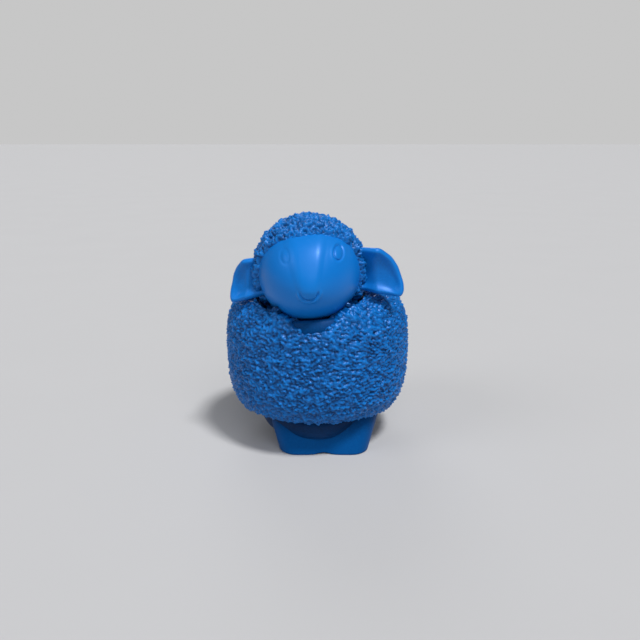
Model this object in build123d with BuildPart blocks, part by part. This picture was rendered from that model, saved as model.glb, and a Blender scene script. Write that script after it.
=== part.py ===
"""Sheep figurine: a hollow fleece body on two pairs of feet, and a ball head that turns in a neck cup.

Millimetres. +Z is up, the face looks along -Y, and the origin is on the floor under the middle of the body.
Left and right are the sheep's own, so its left side is at +X. A side is 1 for left and -1 for right.
"""

import math
import os

from build123d import *

# Body: an upright egg with a superellipse outline, whose heights are shares of its radius
body_radius = 18.8
body_bottom = 3.4
belly_drop_share = 0.883
belly_rise_share = 0.702
outline_power = 3.3
outline_steps = 16
fleece_wall = 2.2
hem_rise = 3.5
belly_opening_radius = 11.5

# Underbody: a shallow rounded tray with a spigot that plugs the fleece from below
tray_step = 0.5
tray_drop = 4.0
tray_draft = 1.7
tray_round = 2.0
tray_floor = 2.4
spigot_height = 3.0
spigot_wall = 3.6

# Feet: each pair is one block that widens upwards, with a dip between the two feet
sole_width = 18.0
sole_depth = 9.0
sole_corner = 3.6
sole_front_share = 0.745
sole_edge = 0.3
leg_flare = 2.6
leg_lean = 2.5
leg_overlap = 1.6
feet_aside = 1.3
toe_dip_radius = 4.0
toe_dip_depth = 0.6
arch_radius = 6.0
arch_depth = 0.35
peg_spacing = 10.0
peg_radius = 1.5
peg_cover = 0.7

# Tail: a small tuft low on the back
tail_height = 15.0
tail_half_width = 3.2
tail_half_depth = 3.0
tail_half_height = 4.2
tail_proud = 1.9
tail_peg_radius = 1.4
tail_peg_stub = 1.0

# Head: a ball hood over an egg-shaped core whose front is the face
head_aside = -1.5
head_forward = 8.0
head_rise_share = 0.176
head_roll = 3.0
head_radius = 11.2
hood_wall = 1.75
hood_open_share = 0.411
hood_pitch = 16.5
muzzle_proud = 1.0

# Curls: rolls of fleece over the hood, in rings about the neck's axis
curl_rolls = 11
curl_depth = 0.3

# Face: a nose ridge above a rounded nostril groove, and two oval eyes
nose_width = 2.6
nose_top = 6.6
nose_bottom = 2.6
nose_proud = 0.4
nostril_radius = 1.85
nostril_drop = 2.9
nostril_groove = 0.3
eye_apart = 9.8
eyes_aside = 0.8
eye_rise = 4.7
eye_half_width = 0.7
eye_half_height = 1.1
eye_ring = 0.3
eye_ring_depth = 0.35
eye_stem = 2.4

# Ears: dished leaves that hang from the sides of the head
left_ear_length = 8.1
right_ear_length = 6.9
left_ear_rise = 4.5
right_ear_rise = 3.5
ear_drop = 5.4
ear_thickness = 1.6
ear_dish_radius = 9.0
ear_forward = 3.0
ear_inset = 0.9
ear_peg_radius = 0.7
ear_peg_start = 2.6
ear_peg_length = 4.4
left_ear_sweep = 6.0
right_ear_sweep = 36.0
left_ear_droop = 0.0
right_ear_droop = 2.0

# Neck: a cup under the head, and a post that turns in the cup's sleeve
neck_tilt = 12.0
turn_limit = 30.0
turning_gap = 0.35
cup_wall = 1.4
cup_lip = 0.4
post_radius = 2.0
post_root = 4.5
post_tip = 0.7
sleeve_wall = 1.6
sleeve_length = 5.0
lug_reach = 2.9
lug_width = 1.2
lug_height = 1.2
washer_radius = 4.2
washer_thickness = 0.8
clip_radius = 3.2
clip_thickness = 0.6
clip_mouth = 2.4
clip_groove = 0.5

# Clearances, and how far a cut runs past what it cuts
fit_gap = 0.05
running_gap = 0.05
end_gap = 0.15
overrun = 5.0

# The ear's free edge from its upper root to its tip: outward as shares of its length,
# and up or down as shares of its rise or its drop
ear_edge_out_shares = (0.0, 0.46, 0.75, 0.9, 1.0, 0.99, 0.9)
ear_edge_up_shares = (1.0, 0.96, 0.53, 0.08, -0.5, -0.8, -1.0)
ear_root_drop_share = 0.66
ear_dish_out_share = 0.45
ear_dish_drop_share = 0.08

# Places that follow from the sizes
belly_drop = belly_drop_share * body_radius
belly_rise = belly_rise_share * body_radius
belly_height = body_bottom + belly_drop
body_top = belly_height + belly_rise
hem_height = body_bottom + hem_rise
tray_bottom = hem_height - tray_drop
leg_height = hem_height + leg_overlap
peg_top = hem_height - peg_cover
sole_front = sole_front_share * body_radius
sole_middle = sole_front - sole_depth / 2
head_rise = head_rise_share * body_radius
hood_open = hood_open_share * head_radius
core_radius = head_radius - hood_wall
core_half_length = head_radius + (muzzle_proud - hood_wall) / 2
core_forward = (muzzle_proud + hood_wall) / 2
cup_inner_radius = head_radius + turning_gap
cup_outer_radius = cup_inner_radius + cup_wall
sleeve_end = cup_inner_radius + sleeve_length
sleeve_radius = post_radius + running_gap + sleeve_wall
lug_end = cup_inner_radius + lug_height
washer_start = sleeve_end + end_gap
groove_start = washer_start + washer_thickness + fit_gap
clip_start = groove_start + fit_gap
groove_end = clip_start + clip_thickness + fit_gap
post_end = groove_end + post_tip
ear_lengths = {1: left_ear_length, -1: right_ear_length}
ear_rises = {1: left_ear_rise, -1: right_ear_rise}
ear_angles = {1: (left_ear_sweep, left_ear_droop), -1: (right_ear_sweep, right_ear_droop)}

# The head's own frame, with x to its left and y to its back, and planes given in that frame
roll = math.radians(head_roll)
tilt = math.radians(neck_tilt)
pitch = math.radians(hood_pitch)
head_centre = (head_aside, -head_forward, body_top + head_rise)
head_plane = Plane(
    origin=head_centre,
    x_dir=(math.cos(roll), 0, math.sin(roll)),
    z_dir=(-math.sin(roll), 0, math.cos(roll)),
)


def in_head(origin, x_dir, z_dir):
    """A plane that is given in the head's own frame, in place"""
    return Plane(head_plane.location * Plane(origin=origin, x_dir=x_dir, z_dir=z_dir).location)


neck_plane = in_head((0, 0, 0), (1, 0, 0), (0, -math.sin(tilt), math.cos(tilt)))
hood_plane = in_head((0, 0, 0), (1, 0, 0), (0, -math.cos(pitch), -math.sin(pitch))).offset(hood_open)
face_plane = in_head((0, -core_forward, 0), (1, 0, 0), (0, -1, 0))


def superellipse(share, power):
    """Share of its half height that a superellipse reaches at a share of its half width"""
    return max(0, 1 - abs(share) ** power) ** (1 / power)


def body_radius_at(height):
    """Radius of the fleece at a height below its widest ring"""
    return body_radius * superellipse((belly_height - height) / belly_drop, outline_power)


def face_reach(across, up):
    """How far the head core reaches in front of its middle, at a place on the face"""
    return core_half_length * math.sqrt(1 - (across**2 + up**2) / core_radius**2)


def egg(inset):
    """The body's form, set in from the fleece"""
    points = []
    for step in range(outline_steps + 1):
        turn = math.pi * (step / outline_steps - 1 / 2)
        reach = belly_rise - inset if turn > 0 else belly_drop - inset
        across = abs(math.cos(turn)) ** (2 / outline_power)
        along = math.copysign(abs(math.sin(turn)) ** (2 / outline_power), turn)
        points.append(((body_radius - inset) * across, belly_height + reach * along))
    points[0] = (0, body_bottom + inset)
    points[-1] = (0, body_top - inset)
    with BuildPart() as form:
        with BuildSketch(Plane.XZ):
            with BuildLine():
                side = Spline(points, tangents=((1, 0), (-1, 0)))
                Line(side @ 1, side @ 0)
            make_face()
        revolve(axis=Axis.Z)
    return form.part


def tray():
    """The underbody's outer form below the fleece's hem"""
    radius = body_radius_at(hem_height) - tray_step
    with BuildPart() as form:
        with BuildSketch(Plane.XZ):
            with BuildLine():
                base = Line((0, tray_bottom), (radius - tray_draft, tray_bottom))
                flank = Line(base @ 1, (radius, hem_height))
                Polyline(flank @ 1, (0, hem_height), base @ 0)
            outline = make_face()
            fillet(outline.vertices().sort_by_distance(flank @ 0)[0], tray_round)
        revolve(axis=Axis.Z)
    return form.part


def head_core(inset, front=0):
    """The head core's egg, in place: set in all round, and longer by front"""
    length = core_half_length - inset + front
    radius = core_radius - inset
    with BuildPart() as form:
        with BuildSketch(Plane.YZ):
            Ellipse(length, radius)
            Rectangle(2 * length, radius, align=(Align.CENTER, Align.MAX), mode=Mode.SUBTRACT)
        revolve(axis=Axis.Y)
    return form.part.moved(head_plane.location * Location((0, -core_forward, 0)))


def curled_ball():
    """The hood's outer form, in place: a ball with rolls of fleece and the post's hole"""
    hole = post_radius + fit_gap
    points = []
    for step in range(2 * curl_rolls):
        turn = math.pi * step / (2 * curl_rolls)
        reach = head_radius - curl_depth * (step % 2)
        if turn < math.pi / 2 or reach * math.sin(turn) > hole + curl_depth:
            points.append((reach * math.sin(turn), reach * math.cos(turn)))
    points.append((hole, -math.sqrt(head_radius**2 - hole**2)))
    with BuildPart() as form:
        with BuildSketch(Plane.YZ):
            with BuildLine():
                wave = Spline(points, tangents=((1, 0), (-head_radius, -hole)))
                Polyline(wave @ 1, (hole, -head_radius / 2), (0, -head_radius / 2), wave @ 0)
            make_face()
        revolve(axis=Axis.Z)
    return form.part.moved(neck_plane.location)


def leg_pair(end):
    """One pair of feet: end is -1 at the front and 1 at the back"""
    foot_plane = Plane(origin=(feet_aside, end * sole_middle, 0))
    with BuildPart() as pair:
        with BuildSketch(foot_plane):
            RectangleRounded(sole_width, sole_depth, sole_corner)
        with BuildSketch(foot_plane.offset(leg_height)):
            with Locations((0, -end * leg_lean)):
                RectangleRounded(sole_width + 2 * leg_flare, sole_depth, sole_corner)
        loft()
        fillet(pair.faces().sort_by(Axis.Z)[0].edges(), sole_edge)
        with BuildSketch(foot_plane):
            with Locations((0, end * (sole_depth / 2 + toe_dip_radius - toe_dip_depth))):
                Circle(toe_dip_radius)
        extrude(amount=leg_height, mode=Mode.SUBTRACT)
        with BuildSketch(Plane(origin=(feet_aside, 0, arch_depth - arch_radius), z_dir=(0, end, 0))):
            Circle(arch_radius)
        extrude(amount=sole_front + overrun, mode=Mode.SUBTRACT)
        add(tray_form, mode=Mode.SUBTRACT)
        add(egg_form, mode=Mode.SUBTRACT)
        with BuildSketch(foot_plane.offset(tray_bottom / 2)):
            with GridLocations(peg_spacing, 0, 2, 1):
                Circle(peg_radius)
        extrude(amount=peg_top - tray_bottom / 2)
    return pair


def eye_prism(side, half_width, half_height, depth):
    """A straight oval prism from behind one eye's place to in front of it"""
    across = eyes_aside + side * eye_apart / 2
    with BuildPart() as prism:
        with BuildSketch(face_plane.offset(face_reach(across, eye_rise) - depth)):
            with Locations((across, eye_rise)):
                Ellipse(half_width, half_height)
        extrude(amount=depth + overrun)
    return prism.part


def eye_ring_cut(side):
    """The shallow oval recess round one eye, which follows the face"""
    with BuildPart() as ring:
        add(eye_prism(side, eye_half_width + eye_ring, eye_half_height + eye_ring, eye_stem))
        add(eye_floor, mode=Mode.SUBTRACT)
    return ring.part


def eye(side):
    """One eye: an oval stem whose end is flush with the face"""
    with BuildPart() as stem:
        add(eye_prism(side, eye_half_width, eye_half_height, eye_stem - end_gap))
        add(core_form, mode=Mode.INTERSECT)
    return stem


def ear_frame(side):
    """Plane of one ear at its root: x is outward, y is up, z is forward on the left and back on the right"""
    sweep, droop = (math.radians(angle) for angle in ear_angles[side])
    root_out = math.sqrt(head_radius**2 - ear_forward**2) - ear_inset
    return in_head(
        (side * root_out, -ear_forward, 0),
        (side * math.cos(sweep) * math.cos(droop), math.sin(sweep) * math.cos(droop), -math.sin(droop)),
        (math.sin(sweep), -side * math.cos(sweep), 0),
    )


def ear_peg(side, gap):
    """The peg that carries an ear, from inside the ear's root straight into the head, with a gap round it"""
    dish_out = ear_dish_out_share * ear_lengths[side] - ear_peg_start
    front = ear_dish_radius - math.sqrt(ear_dish_radius**2 - dish_out**2)
    back = ear_dish_radius - math.sqrt((ear_dish_radius + ear_thickness) ** 2 - dish_out**2)
    root = ear_frame(side).from_local_coords((ear_peg_start, 0, side * (front + back) / 2))
    with BuildPart() as peg:
        with BuildSketch(Plane(origin=root, z_dir=head_plane.x_dir * -side)):
            Circle(ear_peg_radius + gap)
        extrude(amount=ear_peg_start + ear_peg_length + gap)
    return peg.part


def ear(side):
    """One ear: a leaf cut from a thin bowl that opens to the front, seated on the hood"""
    outs = [share * ear_lengths[side] for share in ear_edge_out_shares]
    ups = [share * (ear_rises[side] if share > 0 else ear_drop) for share in ear_edge_up_shares]
    frame = ear_frame(side)
    dish_out = ear_dish_out_share * ear_lengths[side]
    dish_centre = (dish_out, -ear_dish_drop_share * ear_drop, side * ear_dish_radius)
    with BuildPart() as leaf:
        with BuildSketch(frame):
            with BuildLine():
                edge = Spline(list(zip(outs, ups)))
                Polyline(
                    edge @ 1,
                    (0, -ear_root_drop_share * ear_drop),
                    (-ear_inset, -ear_root_drop_share * ear_drop),
                    (-ear_inset, ear_rises[side]),
                    edge @ 0,
                )
            make_face()
        extrude(amount=ear_dish_radius, both=True)
        with Locations(frame.from_local_coords(dish_centre)):
            Sphere(ear_dish_radius + ear_thickness, mode=Mode.INTERSECT)
            Sphere(ear_dish_radius, mode=Mode.SUBTRACT)
        add(hood_ball, mode=Mode.SUBTRACT)
        add(ear_peg(side, 0))
    return leaf


# Forms that more than one piece is cut from
egg_form = egg(0)
egg_hollow = egg(fleece_wall)
cup_form = egg(cup_lip)
tray_form = tray()
core_form = head_core(0)
core_seat = head_core(-fit_gap)
eye_floor = head_core(eye_ring_depth)
nose_form = head_core(0, nose_proud)
with BuildPart(head_plane) as ball:
    Sphere(head_radius)
hood_ball = ball.part

# Fleece: a hollow egg, cut off at the hem, with a round seat for the neck cup
with BuildPart() as fleece_body:
    add(egg_form)
    add(egg_hollow, mode=Mode.SUBTRACT)
    with BuildSketch(Plane.XY.offset(hem_height)):
        Circle(body_radius + overrun)
    extrude(amount=-(hem_height + overrun), mode=Mode.SUBTRACT)
    with BuildSketch(Plane.XY):
        Circle(belly_opening_radius)
    extrude(amount=belly_height, mode=Mode.SUBTRACT)
    with Locations(head_centre):
        Sphere(cup_outer_radius + fit_gap, mode=Mode.SUBTRACT)
    with BuildSketch(Plane.XZ):
        with Locations((0, tail_height)):
            Circle(tail_peg_radius + fit_gap)
    extrude(amount=-(body_radius + overrun), mode=Mode.SUBTRACT)

# Underbody: the tray, a spigot ring, a hollow inside the ring and four sockets for the feet's pegs
with BuildPart() as underbody:
    add(tray_form)
    with BuildSketch(Plane.XY.offset(hem_height)):
        Circle(belly_opening_radius - fit_gap)
    extrude(amount=spigot_height)
    with BuildSketch(Plane.XY.offset(tray_bottom + tray_floor)):
        Circle(belly_opening_radius - fit_gap - spigot_wall)
    extrude(amount=tray_drop + spigot_height, mode=Mode.SUBTRACT)
    with BuildSketch(Plane.XY):
        with Locations((feet_aside, 0)):
            with GridLocations(peg_spacing, 2 * sole_middle, 2, 2):
                Circle(peg_radius + fit_gap)
    extrude(amount=peg_top + end_gap, mode=Mode.SUBTRACT)

front_legs = leg_pair(-1)
rear_legs = leg_pair(1)

# Tail: an oval tuft seated on the fleece, with a peg through the fleece's wall
tail_seat = body_radius_at(tail_height)
with BuildPart() as tail_oval:
    Sphere(1)
    scale(by=(tail_half_width, tail_half_depth, tail_half_height))
with BuildPart() as tail:
    add(tail_oval.part.moved(Location((0, tail_seat + tail_proud - tail_half_depth, tail_height))))
    add(egg_form, mode=Mode.SUBTRACT)
    with BuildSketch(Plane(origin=(0, tail_seat + tail_proud / 2, tail_height), z_dir=(0, -1, 0))):
        Circle(tail_peg_radius)
    extrude(amount=tail_proud / 2 + fleece_wall + tail_peg_stub)

# Neck cup: a smooth bowl round the head ball, with a sleeve for the post and a notch for its stop lug
with BuildPart() as neck_cup:
    with Locations(head_centre):
        Sphere(cup_outer_radius)
    add(cup_form, mode=Mode.INTERSECT)
    with BuildSketch(neck_plane):
        Circle(sleeve_radius)
    extrude(amount=-sleeve_end)
    with Locations(head_centre):
        Sphere(cup_inner_radius, mode=Mode.SUBTRACT)
    with BuildSketch(neck_plane):
        Circle(post_radius + running_gap)
    extrude(amount=-(sleeve_end + overrun), mode=Mode.SUBTRACT)
    with BuildSketch(neck_plane):
        with BuildLine():
            notch_arc = CenterArc((0, 0), lug_reach + end_gap, -90 - turn_limit, 2 * turn_limit)
            Polyline(notch_arc @ 1, (0, 0), notch_arc @ 0)
        make_face()
        with Locations(Rotation(0, 0, turn_limit), Rotation(0, 0, -turn_limit)):
            Rectangle(lug_width + 2 * running_gap, lug_reach + end_gap, align=(Align.CENTER, Align.MAX))
    extrude(amount=-(lug_end + end_gap), mode=Mode.SUBTRACT)

# Face: the head core with its nose ridge, nostril groove, eye recesses, and sockets for what it carries
with BuildPart() as nose_ridge:
    with BuildSketch(face_plane):
        with Locations((0, (nose_top - nose_bottom) / 2)):
            SlotOverall(nose_top + nose_bottom, nose_width, rotation=90)
    extrude(amount=core_half_length + overrun)
    add(nose_form, mode=Mode.INTERSECT)
nostril_middle = nostril_drop - nostril_radius
nostril_reach = face_reach(nostril_radius, nostril_middle)
nostril_lean = math.atan2(nostril_reach - face_reach(0, nostril_drop), nostril_radius)
nostril_plane = in_head(
    (0, -core_forward - nostril_reach, -nostril_middle),
    (-1, 0, 0),
    (0, -math.cos(nostril_lean), -math.sin(nostril_lean)),
)
with BuildPart(nostril_plane) as nostril:
    Torus(nostril_radius, nostril_groove, major_angle=180, align=None)
with BuildPart() as face:
    add(core_form)
    add(nose_ridge.part)
    add(nostril.part, mode=Mode.SUBTRACT)
    for side in ear_angles:
        add(eye_ring_cut(side), mode=Mode.SUBTRACT)
        eye_socket = eye_prism(side, eye_half_width + fit_gap, eye_half_height + fit_gap, eye_stem)
        add(eye_socket, mode=Mode.SUBTRACT)
        add(ear_peg(side, fit_gap), mode=Mode.SUBTRACT)
    with BuildSketch(neck_plane.offset(end_gap - post_root)):
        Circle(post_radius + fit_gap)
    extrude(amount=-post_end, mode=Mode.SUBTRACT)

# Hood: the curled fleece ball round the head core, open in front of the face
with BuildPart() as hood:
    add(curled_ball())
    split(bisect_by=hood_plane, keep=Keep.BOTTOM)
    add(core_seat, mode=Mode.SUBTRACT)
    for side in ear_angles:
        add(ear_peg(side, fit_gap), mode=Mode.SUBTRACT)

left_eye = eye(1)
right_eye = eye(-1)
left_ear = ear(1)
right_ear = ear(-1)

# Neck post: a shaft with a stop lug at the cup and a groove for the clip at its lower end
with BuildPart() as neck_post:
    with BuildSketch(neck_plane.offset(-post_root)):
        Circle(post_radius)
    extrude(amount=post_root - post_end)
    with BuildSketch(neck_plane.offset(-groove_start)):
        Circle(post_radius + overrun)
        Circle(post_radius - clip_groove, mode=Mode.SUBTRACT)
    extrude(amount=groove_start - groove_end, mode=Mode.SUBTRACT)
    with BuildSketch(neck_plane.offset(-cup_inner_radius)):
        Rectangle(lug_width, lug_reach, align=(Align.CENTER, Align.MAX))
    extrude(amount=-lug_height)

with BuildPart() as neck_washer:
    with BuildSketch(neck_plane.offset(-washer_start)):
        Circle(washer_radius)
        Circle(post_radius + fit_gap, mode=Mode.SUBTRACT)
    extrude(amount=-washer_thickness)

with BuildPart() as neck_clip:
    with BuildSketch(neck_plane.offset(-clip_start)):
        Circle(clip_radius)
        Circle(post_radius - clip_groove + fit_gap, mode=Mode.SUBTRACT)
        Rectangle(clip_mouth, clip_radius + fit_gap, align=(Align.CENTER, Align.MIN), mode=Mode.SUBTRACT)
    extrude(amount=-clip_thickness)

os.makedirs("parts", exist_ok=True)
for node, piece in {
    "fleece_body": fleece_body,
    "underbody": underbody,
    "front_legs": front_legs,
    "rear_legs": rear_legs,
    "tail": tail,
    "neck_cup": neck_cup,
    "face": face,
    "hood": hood,
    "left_eye": left_eye,
    "right_eye": right_eye,
    "left_ear": left_ear,
    "right_ear": right_ear,
    "neck_post": neck_post,
    "neck_washer": neck_washer,
    "neck_clip": neck_clip,
}.items():
    piece.part.label = node
    export_step(piece.part, f"parts/{node}.step")
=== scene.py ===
"""Dresses the sheep figurine in one blue plastic.

The fleece is tufted; the face, the ears, the neck bowl and the feet are smooth.
"""

import logging
import math
from dataclasses import dataclass, field
from enum import Enum
from typing import Any, ClassVar

import bmesh
import bpy
import numpy as np
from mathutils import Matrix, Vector
from mathutils.kdtree import KDTree


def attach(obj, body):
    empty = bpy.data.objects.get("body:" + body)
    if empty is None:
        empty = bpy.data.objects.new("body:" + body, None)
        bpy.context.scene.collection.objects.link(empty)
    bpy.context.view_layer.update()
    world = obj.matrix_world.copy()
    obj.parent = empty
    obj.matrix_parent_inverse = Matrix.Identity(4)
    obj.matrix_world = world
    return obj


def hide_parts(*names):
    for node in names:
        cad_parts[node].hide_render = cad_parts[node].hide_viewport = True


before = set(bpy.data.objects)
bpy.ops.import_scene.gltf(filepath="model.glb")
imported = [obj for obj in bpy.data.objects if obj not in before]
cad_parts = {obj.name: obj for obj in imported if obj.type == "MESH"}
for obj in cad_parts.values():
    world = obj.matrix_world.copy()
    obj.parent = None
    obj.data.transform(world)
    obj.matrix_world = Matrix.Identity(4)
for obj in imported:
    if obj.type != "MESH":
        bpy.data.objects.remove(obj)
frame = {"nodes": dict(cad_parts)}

Array = np.ndarray
Faces = list[list[int]]
Span = tuple[float, float]
Triple = tuple[float, float, float]
Piece = bpy.types.Object
MILLIMETRE = 0.001
LEAST_LENGTH = 1e-12
UP = np.array((0.0, 0.0, 1.0))
LOG = logging.getLogger("sheep")


class Body(Enum):
    """The two bodies of the figurine."""

    TORSO = "body"
    HEAD = "head"


class Side(Enum):
    """The sheep's own left and right, as the sign of x."""

    LEFT = 1
    RIGHT = -1


class End(Enum):
    """The sheep's front and back, as the sign of y."""

    FRONT = -1
    BACK = 1


def smooth_step(low: float, high: float, value: Array) -> Array:
    """Rises smoothly from 0 at low to 1 at high.

    Args:
        low: Where the step starts.
        high: Where the step ends, which may be below low.
        value: The values to step.

    Returns:
        The step at each value.
    """
    share = np.clip((value - low) / (high - low), 0.0, 1.0)
    return share * share * (3.0 - 2.0 * share)


def unit(vectors: Array) -> Array:
    """Vectors at length one."""
    length = np.linalg.norm(vectors, axis=-1, keepdims=True)
    return vectors / np.maximum(length, LEAST_LENGTH)


def bump(value: Array, width: float) -> Array:
    """A bell of height one round zero."""
    return np.exp(-((value / width) ** 2))


def once_round(count: int) -> Array:
    """Angles spread evenly round a circle."""
    return np.linspace(0.0, 2 * math.pi, count, endpoint=False)


def walk(path: Array, share: Array) -> Array:
    """Follows a broken line in a plane.

    Args:
        path: The line's corners.
        share: Shares of the line's length.

    Returns:
        The points there.
    """
    length = np.concatenate([[0.0], np.cumsum(np.hypot(*np.diff(path, axis=0).T))])
    place = share * length[-1]
    return np.stack([np.interp(place, length, path[:, axis]) for axis in (0, 1)], -1)


@dataclass
class Draft:
    """A mesh in millimetres before it becomes a piece.

    Attributes:
        points: Its corners.
        faces: Its faces, as lists of corner numbers.
        relief: Painted shading at each corner, from painted shade at 0 to painted highlight at 1.
        plain_painted_shading: The painted shading where none is given.
    """

    points: Array
    faces: Faces
    relief: Array | None = None
    plain_painted_shading: ClassVar[float] = 0.7

    def normals(self) -> Array:
        """Outward directions at the corners, from faces of four corners."""
        quads = np.array(self.faces)
        first = self.points[quads[:, 2]] - self.points[quads[:, 0]]
        second = self.points[quads[:, 3]] - self.points[quads[:, 1]]
        across = np.cross(first, second)
        total = np.zeros_like(self.points)
        for corner in range(4):
            np.add.at(total, quads[:, corner], across)
        return unit(total)

    def only(self, faces: Array) -> "Draft":
        """The draft with only some faces, and the corners that they need.

        Args:
            faces: The faces to keep.

        Returns:
            The smaller draft.
        """
        used, place = np.unique(faces, return_inverse=True)
        relief = None if self.relief is None else self.relief[used]
        return Draft(self.points[used], place.reshape(faces.shape).tolist(), relief)

    def piece(self, name: str, body: Body, finish: "PlasticFinish", *nodes: str) -> Piece:
        """Makes the piece that stands for some nodes.

        Args:
            name: The piece's name.
            body: The body that it rides on.
            finish: Its plastic.
            nodes: The nodes that it stands for.

        Returns:
            The new object.
        """
        mesh = bpy.data.meshes.new(name)
        mesh.from_pydata((self.points * MILLIMETRE).tolist(), [], self.faces)
        shape = bmesh.new()
        shape.from_mesh(mesh)
        bmesh.ops.recalc_face_normals(shape, faces=shape.faces)
        shape.to_mesh(mesh)
        shape.free()
        mesh.polygons.foreach_set("use_smooth", [True] * len(mesh.polygons))
        # Painted shading: a mask per corner for the finish's painted shade and painted highlight.
        relief = self.relief
        if relief is None:
            relief = np.full(len(self.points), self.plain_painted_shading)
        layer = mesh.attributes.new("relief", "FLOAT", "POINT")
        layer.data.foreach_set("value", relief.astype(np.float32))
        mesh.materials.append(finish.material())
        made = bpy.data.objects.new(name, mesh)
        bpy.context.scene.collection.objects.link(made)
        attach(made, body.value)
        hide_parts(*nodes)
        LOG.info("%s: %d faces for %s", name, len(mesh.polygons), ", ".join(nodes))
        return made


def cube_sphere(divisions: int) -> tuple[Array, Faces]:
    """Directions spread evenly over a ball, as a cube's faces blown up.

    Args:
        divisions: Squares along each edge of the cube.

    Returns:
        The directions, and the squares between them.
    """
    line = np.arange(divisions + 1)
    first, second = np.indices((divisions + 1, divisions + 1)).reshape(2, -1)
    corner = (line[:-1, None] * (divisions + 1) + line[None, :-1]).ravel()
    square = np.stack([corner, corner + divisions + 1, corner + divisions + 2, corner + 1], 1)
    lattice: list[Array] = []
    squares: list[Array] = []
    for axis in range(3):
        for end in (0, divisions):
            points = np.zeros((len(first), 3), int)
            points[:, axis] = end
            points[:, (axis + 1) % 3] = first
            points[:, (axis + 2) % 3] = second
            squares.append((square if end else square[:, ::-1]) + len(first) * len(lattice))
            lattice.append(points)
    unique, place = np.unique(np.concatenate(lattice), axis=0, return_inverse=True)
    directions = unit(np.tan((unique / divisions * 2 - 1) * math.pi / 4))
    return directions, place.reshape(-1)[np.concatenate(squares)].tolist()


def ring_faces(rows: int, columns: int, closed: bool = False) -> Faces:
    """Squares between rings of corners that lie row after row.

    Args:
        rows: The number of rings.
        columns: Corners in each ring.
        closed: Whether the last ring joins the first.

    Returns:
        The squares.
    """
    row, column = np.indices((rows if closed else rows - 1, columns)).reshape(2, -1)
    beside = (column + 1) % columns
    low, high = row * columns, (row + 1) % rows * columns
    return np.stack([low + column, low + beside, high + beside, high + column], 1).tolist()


def capped_rings(rings: Array) -> Draft:
    """A closed form from rings of corners, with a point at each end.

    Args:
        rings: Corners by ring, by place round the ring, by axis.

    Returns:
        The form, whose last two corners are the points at its first and last ring.
    """
    rows, columns = rings.shape[:2]
    points = np.concatenate([rings.reshape(-1, 3), rings[0].mean(0)[None], rings[-1].mean(0)[None]])
    faces = ring_faces(rows, columns)
    last = (rows - 1) * columns
    for column in range(columns):
        beside = (column + 1) % columns
        faces.append([beside, column, rows * columns])
        faces.append([last + column, last + beside, rows * columns + 1])
    return Draft(points, faces)


@dataclass(frozen=True)
class TuftField:
    """A coat of small overlapping tufts.

    Attributes:
        spacing: Least distance between two tufts.
        length: Half length of the shortest and the longest tuft.
        slimness: Width over length of the slimmest and the stoutest tuft.
        height: Height of the lowest and the highest tuft.
        spread: How far a tuft turns from the coat's own direction, in radians.
        seed: Start of the random numbers.
        hang: How far a tuft's lower lip stands out over its upper one.
        neighbours: Tufts that may cover one corner.
        most_lean: How far a tuft may lean along its length.
        curl: How far a tuft bends sideways.
        curl_middle: Where along its length the bend crosses its middle line.
        fullness: Power of a tuft's section, fuller below one.
    """

    spacing: float
    length: Span
    slimness: Span
    height: Span
    spread: float
    seed: int
    hang: float = 0.0
    neighbours: ClassVar[int] = 9
    most_lean: ClassVar[float] = 0.55
    curl: ClassVar[float] = 0.35
    curl_middle: ClassVar[float] = 0.4
    fullness: ClassVar[float] = 0.62

    def places(self, points: Array, random: np.random.Generator) -> Array:
        """Picks corners that are no nearer to each other than the spacing.

        Args:
            points: The corners of the bare form.
            random: Source of the order in which they are tried.

        Returns:
            The numbers of the picked corners.
        """
        cells = np.floor(points / self.spacing).astype(int)
        around = [(a, b, c) for a in (-1, 0, 1) for b in (-1, 0, 1) for c in (-1, 0, 1)]
        held: dict[tuple[int, int, int], list[int]] = {}
        picked: list[int] = []
        for index in random.permutation(len(points)):
            place, cell = points[index], tuple(cells[index])
            near = [
                other
                for a, b, c in around
                for other in held.get((cell[0] + a, cell[1] + b, cell[2] + c), ())
            ]
            if near and np.min(np.sum((points[near] - place) ** 2, axis=1)) < self.spacing**2:
                continue
            held.setdefault(cell, []).append(index)
            picked.append(index)
        return np.array(picked)

    def heights(self, points: Array, normals: Array, grain: Array) -> Array:
        """Height of the coat over each corner of a bare form.

        Args:
            points: The corners.
            normals: Outward directions there.
            grain: The direction that tufts follow at each corner.

        Returns:
            Heights in millimetres.
        """
        random = np.random.default_rng(self.seed)
        picked = self.places(points, random)
        count = len(picked)
        turn = random.normal(0.0, self.spread, count)[:, None]
        normal, lie = normals[picked], grain[picked]
        along = unit(lie - normal * np.sum(lie * normal, axis=1, keepdims=True))
        across = np.cross(normal, along)
        cosine, sine = np.cos(turn), np.sin(turn)
        along, across = along * cosine + across * sine, across * cosine - along * sine
        long = random.uniform(*self.length, count)
        wide = long * random.uniform(*self.slimness, count)
        tall = random.uniform(*self.height, count)
        lean = random.uniform(-self.most_lean, self.most_lean, count)
        tree = KDTree(count)
        for number, place in enumerate(points[picked]):
            tree.insert(place, number)
        tree.balance()
        near = np.array(
            [[hit[1] for hit in tree.find_n(place, self.neighbours)] for place in points]
        )
        offset = points[:, None, :] - points[picked][near]
        forward = np.sum(offset * along[near], axis=2) / long[near]
        sideways = np.sum(offset * across[near], axis=2) / wide[near]
        sideways = sideways + self.curl * (forward**2 - self.curl_middle) * np.sign(lean[near])
        inside = np.clip(1.0 - forward**2 - sideways**2, 0.0, 1.0) ** self.fullness
        form = inside * (1.0 + lean[near] * forward) * (1.0 - self.hang * sideways)
        return np.max(tall[near] * form, axis=1)


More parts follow.
